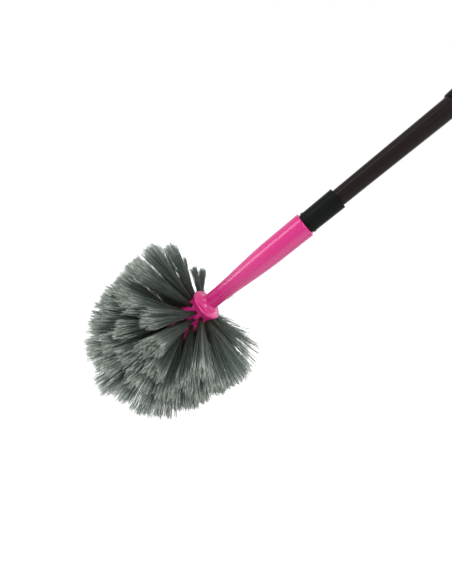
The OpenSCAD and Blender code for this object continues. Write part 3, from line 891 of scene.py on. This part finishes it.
cut = add_node(
    grow, "ShaderNodeMath", {0: lot["own cut"], 1: lot["bundle cut"]}, operation="ADD")
shorter = add_node(
    grow, "ShaderNodeMath", {0: cut.outputs[0], 1: size["Uneven length"]}, operation="MULTIPLY")
kept = add_node(grow, "ShaderNodeMath", {0: 1.0, 1: shorter.outputs[0]}, operation="SUBTRACT")
free = add_node(
    grow, "ShaderNodeMath", {0: kept.outputs[0], 1: laid_out["reach"]}, operation="MULTIPLY")
whole = add_node(
    grow, "ShaderNodeMath", {0: free.outputs[0], 1: size["Sunk into hole"]}, operation="ADD")
full_way = add_node(
    grow, "ShaderNodeVectorMath", {0: way, 3: whole.outputs[0]}, operation="SCALE").outputs[0]
tone = add_node(
    grow, "ShaderNodeMath", {0: lot["own tone"], 1: lot["bundle tone"]},
    operation="ADD").outputs[0]

for name, kind, value in (
        ("rooted", "FLOAT_VECTOR", root), ("full_way", "FLOAT_VECTOR", full_way),
        ("bend", "FLOAT_VECTOR", step["bend"]), ("flag", "FLOAT_VECTOR", step["flag"]),
        ("tone", "FLOAT", tone)):
    bristle_points = add_node(
        grow, "GeometryNodeStoreNamedAttribute", {0: bristle_points, 2: name, 3: value},
        data_type=kind, domain="POINT").outputs[0]
print("bristle tree has", len(grow.nodes), "nodes so far")

# %% [markdown]
# A bristle is a straight line of four points laid along its way, and its bend grows with
# the square of the distance, as in a rod pushed at its end. The flag is a shorter line that
# follows the last part of the same path and leaves it sideways. Each line gets a three-sided
# section and its share of the map: U across a thin strip of its own, V from root to tip.

# %% Lines, sections and the map
MAP_STRIP = 0.02
FLAG_WIDTH = 0.6            # share of the bristle's own width
LINE_POINTS, FLAG_POINTS = 4, 3
SECTION_SIDES = 3
stored = {
    name: add_node(grow, "GeometryNodeInputNamedAttribute", {0: name}, data_type=kind).outputs[0]
    for name, kind in (
        ("rooted", "FLOAT_VECTOR"), ("full_way", "FLOAT_VECTOR"), ("bend", "FLOAT_VECTOR"),
        ("flag", "FLOAT_VECTOR"), ("tone", "FLOAT"), ("along", "FLOAT"), ("around", "FLOAT"))}
section = add_node(grow, "GeometryNodeCurvePrimitiveCircle", {0: SECTION_SIDES, 4: 0.5})
round_share = add_node(grow, "GeometryNodeSplineParameter").outputs[0]
section = add_node(
    grow, "GeometryNodeStoreNamedAttribute", {0: section.outputs[0], 2: "around", 3: round_share},
    data_type="FLOAT", domain="POINT").outputs[0]
thinner = add_node(
    grow, "ShaderNodeMapRange", {0: stored["along"], 3: 1.0, 4: size["Width at tip"]}).outputs[0]
full_width = add_node(
    grow, "ShaderNodeMath", {0: thinner, 1: size["Bristle width"]},
    operation="MULTIPLY").outputs[0]
flag_width = add_node(
    grow, "ShaderNodeMath", {0: full_width, 1: FLAG_WIDTH}, operation="MULTIPLY").outputs[0]

grown = []
for is_flag, count, starts, width in (
        (False, LINE_POINTS, 0.0, full_width), (True, FLAG_POINTS, size["Flag starts"], flag_width)):
    line = add_node(grow, "GeometryNodeCurvePrimitiveLine", {1: (0, 0, 0.001)}).outputs[0]
    line = add_node(grow, "GeometryNodeResampleCurve", {0: line, 2: count}).outputs[0]
    lines = add_node(grow, "GeometryNodeInstanceOnPoints", {0: bristle_points, 2: line}).outputs[0]
    lines = add_node(grow, "GeometryNodeRealizeInstances", {0: lines}).outputs[0]
    share = add_node(grow, "GeometryNodeSplineParameter").outputs[0]
    place = add_node(grow, "ShaderNodeMapRange", {0: share, 3: starts, 4: 1.0}).outputs[0]
    lines = add_node(
        grow, "GeometryNodeStoreNamedAttribute", {0: lines, 2: "along", 3: place},
        data_type="FLOAT", domain="POINT").outputs[0]
    squared = add_node(
        grow, "ShaderNodeMath", {0: stored["along"], 1: stored["along"]},
        operation="MULTIPLY").outputs[0]
    shifts = [(stored["full_way"], stored["along"]), (stored["bend"], squared)]
    if is_flag:
        shifts.append((stored["flag"], share))
    path = stored["rooted"]
    for arrow, factor in shifts:
        shift = add_node(grow, "ShaderNodeVectorMath", {0: arrow, 3: factor}, operation="SCALE")
        path = add_node(
            grow, "ShaderNodeVectorMath", {0: path, 1: shift.outputs[0]},
            operation="ADD").outputs[0]
    lines = add_node(grow, "GeometryNodeSetPosition", {0: lines, 2: path}).outputs[0]
    lines = add_node(grow, "GeometryNodeSetCurveRadius", {0: lines, 2: 1.0}).outputs[0]
    solid = add_node(
        grow, "GeometryNodeCurveToMesh", {0: lines, 1: section, 2: width, 3: True})
    grown.append(solid.outputs[0])
both = add_node(grow, "GeometryNodeJoinGeometry", {0: grown[1]})
grow.links.new(grown[0], both.inputs[0])
strip = add_node(
    grow, "ShaderNodeMath", {0: stored["tone"], 1: 1 - MAP_STRIP}, operation="MULTIPLY").outputs[0]
u = add_node(
    grow, "ShaderNodeMath", {0: stored["around"], 1: MAP_STRIP, 2: strip},
    operation="MULTIPLY_ADD").outputs[0]
uv_place = add_node(grow, "ShaderNodeCombineXYZ", {0: u, 1: stored["along"]}).outputs[0]
mapped = add_node(
    grow, "GeometryNodeStoreNamedAttribute", {0: both.outputs[0], 2: BRISTLE_MAP, 3: uv_place},
    data_type="FLOAT2", domain="CORNER").outputs[0]
real = add_node(grow, "GeometryNodeRealizeInstances", {0: mapped}).outputs[0]
dressed = add_node(grow, "GeometryNodeSetMaterial", {0: real, 2: size["Material"]})
add_node(grow, "NodeGroupOutput", {0: dressed.outputs[0]})
print("bristle tree has", len(grow.nodes), "nodes")

# %% [markdown]
# ## Growing the rings
# Each ring becomes its own piece, because each ring is its own node in the CAD. A small
# mesh of one point per tuft carries the layout as attributes, the tree is run on it once,
# and the result is kept as plain mesh.

# %% Grow each ring
FIRST_SEED, SEED_STEP = 100, 7
WORK_NAMES = (
    "rooted", "full_way", "bend", "flag", "tone", "along", "around", "aim", "across", "reach",
    "splay", "number")
identifiers = {
    item.name: item.identifier for item in grow.interface.items_tree
    if item.item_type == "SOCKET" and item.in_out == "INPUT"}


def side_of(aim):
    # Any direction square to the aim
    away = Vector((0, 0, 1)) if abs(aim.z) < 0.9 else Vector((1, 0, 0))
    return aim.cross(away).normalized()


def grow_ring(name, tufts, seed):
    mesh = bpy.data.meshes.new(name + "_points")
    mesh.from_pydata([one["root"] for one in tufts], [], [])
    aims = [one["aim"] for one in tufts]
    for label, values in (("aim", aims), ("across", [side_of(aim) for aim in aims])):
        layer = mesh.attributes.new(label, "FLOAT_VECTOR", "POINT")
        layer.data.foreach_set("vector", [n for value in values for n in value])
    for label, values in (
            ("reach", [one["reach"] for one in tufts]), ("splay", [one["splay"] for one in tufts]),
            ("number", [float(i) for i in range(len(tufts))])):
        mesh.attributes.new(label, "FLOAT", "POINT").data.foreach_set("value", values)
    holder = bpy.data.objects.new(name + "_points", mesh)
    scene.collection.objects.link(holder)
    modifier = holder.modifiers.new("Grow", "NODES")
    modifier.node_group = grow
    modifier[identifiers["Seed"]] = seed
    modifier[identifiers["Material"]] = bristle
    depsgraph = bpy.context.evaluated_depsgraph_get()
    plain = bpy.data.meshes.new_from_object(
        holder.evaluated_get(depsgraph), preserve_all_data_layers=True, depsgraph=depsgraph)
    holder.modifiers.remove(modifier)
    bpy.data.objects.remove(holder)
    plain.name = name
    for label in WORK_NAMES:
        if label in plain.attributes:
            plain.attributes.remove(plain.attributes[label])
    return plain


for i, (node_name, tufts) in enumerate(tuft_rings.items()):
    ring_mesh = grow_ring("bristles_" + node_name, tufts, FIRST_SEED + SEED_STEP * i)
    finish_piece("bristles_" + node_name, ring_mesh, None, "bristles", "brush_head", node_name)

# %% [markdown]
# ## Hidden pieces
# The lock and the anchor wires are inside the pole and the block. Their CAD shapes are
# right, so they stay, and only get the finish of what they are made of.

# %% Finishes of the hidden pieces
hidden_finishes = {
    "split_sleeve": nylon, "lock_cone": black_plastic, "lock_plug": black_plastic,
    "lock_stud": plated_steel, "stud_nut": plated_steel, "tuft_anchors": plated_steel}
for node_name, material in hidden_finishes.items():
    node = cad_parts[node_name]
    if not node.material_slots:
        node.data.materials.append(material)
    for slot in node.material_slots:
        slot.material = material
    print("finish", node_name, material.name)

# %% [markdown]
# ## Floor and light
# The brush hangs from its eyelet above a plain white floor, which lies low enough that the
# pole can draw out to its full length. To the camera and to mirrors the floor and the world
# are white, yet the floor still takes a real soft shadow, because only a part of its
# brightness is added for those rays, and more of it further out, where no shadow falls.
# That added part lights nothing, so the renderer is told not to look for light there.

# %% Floor
DRAWS_OUT = 0.26 + 0.03     # metres: the pole at its longest, and the head pulled off
FLOOR_GAP = 0.01
HALF_FLOOR = 6.0


def sees_white(tree):
    # 1 for the rays that find a white background, and 0 for the light that falls on things
    rays = add_node(tree, "ShaderNodeLightPath").outputs
    seen = rays["Is Camera Ray"]
    for kind in ("Is Glossy Ray", "Is Transmission Ray"):
        seen = add_node(
            tree, "ShaderNodeMath", {0: seen, 1: rays[kind]}, operation="MAXIMUM").outputs[0]
    return seen


floor_z = cad_box[0][2] - DRAWS_OUT - FLOOR_GAP
floor_mesh = bpy.data.meshes.new("studio_floor")
corners = [
    (x * HALF_FLOOR, y * HALF_FLOOR, floor_z) for x, y in ((-1, -1), (1, -1), (1, 1), (-1, 1))]
floor_mesh.from_pydata(corners, [], [(0, 1, 2, 3)])
floor = bpy.data.objects.new("studio_floor", floor_mesh)
scene.collection.objects.link(floor)
paper, tree = new_material("studio_paper_white")
place_on_floor = add_node(tree, "ShaderNodeTexCoord").outputs["Object"]
from_head = add_node(
    tree, "ShaderNodeVectorMath", {0: place_on_floor, 1: (0, 0, floor_z)}, operation="DISTANCE")
away = add_node(
    tree, "ShaderNodeMapRange", {0: from_head.outputs[1], 1: 0.2, 2: 0.9, 3: 0.66, 4: 1.0})
lift = add_node(
    tree, "ShaderNodeMath", {0: sees_white(tree), 1: away.outputs[0]}, operation="MULTIPLY")
matt = add_node(tree, "ShaderNodeBsdfDiffuse", {"Color": linear("#ececec")})
glow = add_node(tree, "ShaderNodeEmission", {"Strength": lift.outputs[0]})
paper_shader = add_node(tree, "ShaderNodeAddShader", {0: matt.outputs[0], 1: glow.outputs[0]})
add_node(tree, "ShaderNodeOutputMaterial", {0: paper_shader.outputs[0]})
floor_mesh.materials.append(paper)
paper.cycles.emission_sampling = "NONE"
print("floor at", round(floor_z, 3))

# %% [markdown]
# A tall narrow lamp stands on the left and leans away from the pole: its reflection is the
# long highlight on the tube and the socket. Its foot is close, because from further off the
# neck would mirror the floor instead. Softer lamps in front, behind, on both sides and above
# fill in, and the world adds a little light from everywhere.

# %% World and lamps
AMBIENT = 0.2
world = bpy.data.worlds.new("studio_world")
world.use_nodes = True
scene.world = world
tree = world.node_tree
tree.nodes.clear()
level = add_node(tree, "ShaderNodeMapRange", {0: sees_white(tree), 3: AMBIENT, 4: 1.0})
sky = add_node(tree, "ShaderNodeBackground", {0: (1, 1, 1, 1), 1: level.outputs[0]})
add_node(tree, "ShaderNodeOutputWorld", {0: sky.outputs[0]})


def soft_lamp(name, place, look_at, across, high, watts):
    lamp = bpy.data.lights.new(name, "AREA")
    lamp.shape = "RECTANGLE"
    lamp.size = across
    lamp.size_y = high
    lamp.energy = watts
    made = bpy.data.objects.new(name, lamp)
    scene.collection.objects.link(made)
    toward = Vector(look_at) - Vector(place)
    turn = toward.to_track_quat("-Z", "Y").to_matrix().to_4x4()
    made.matrix_world = Matrix.Translation(place) @ turn
    print("lamp", name, watts, "W")


head = (0, 0, -0.95)
soft_lamp("strip_lamp", (-0.56, -0.38, -0.76), (0, 0, -0.26), 0.2, 1.1, 3.3)
soft_lamp("side_lamp", (-1.3, -0.5, -0.1), head, 0.8, 0.8, 1)
soft_lamp("front_lamp", (0.1, -1.1, 0.35), head, 0.8, 0.8, 14)
soft_lamp("fill_lamp", (1.2, -0.35, -0.7), head, 1.4, 1.4, 6)
soft_lamp("back_lamp", (0.5, 1.3, -0.1), (0, 0, -0.6), 1.0, 1.0, 5)
soft_lamp("top_lamp", (0.0, 0.2, 1.4), (0, 0, -0.4), 1.2, 1.2, 14)
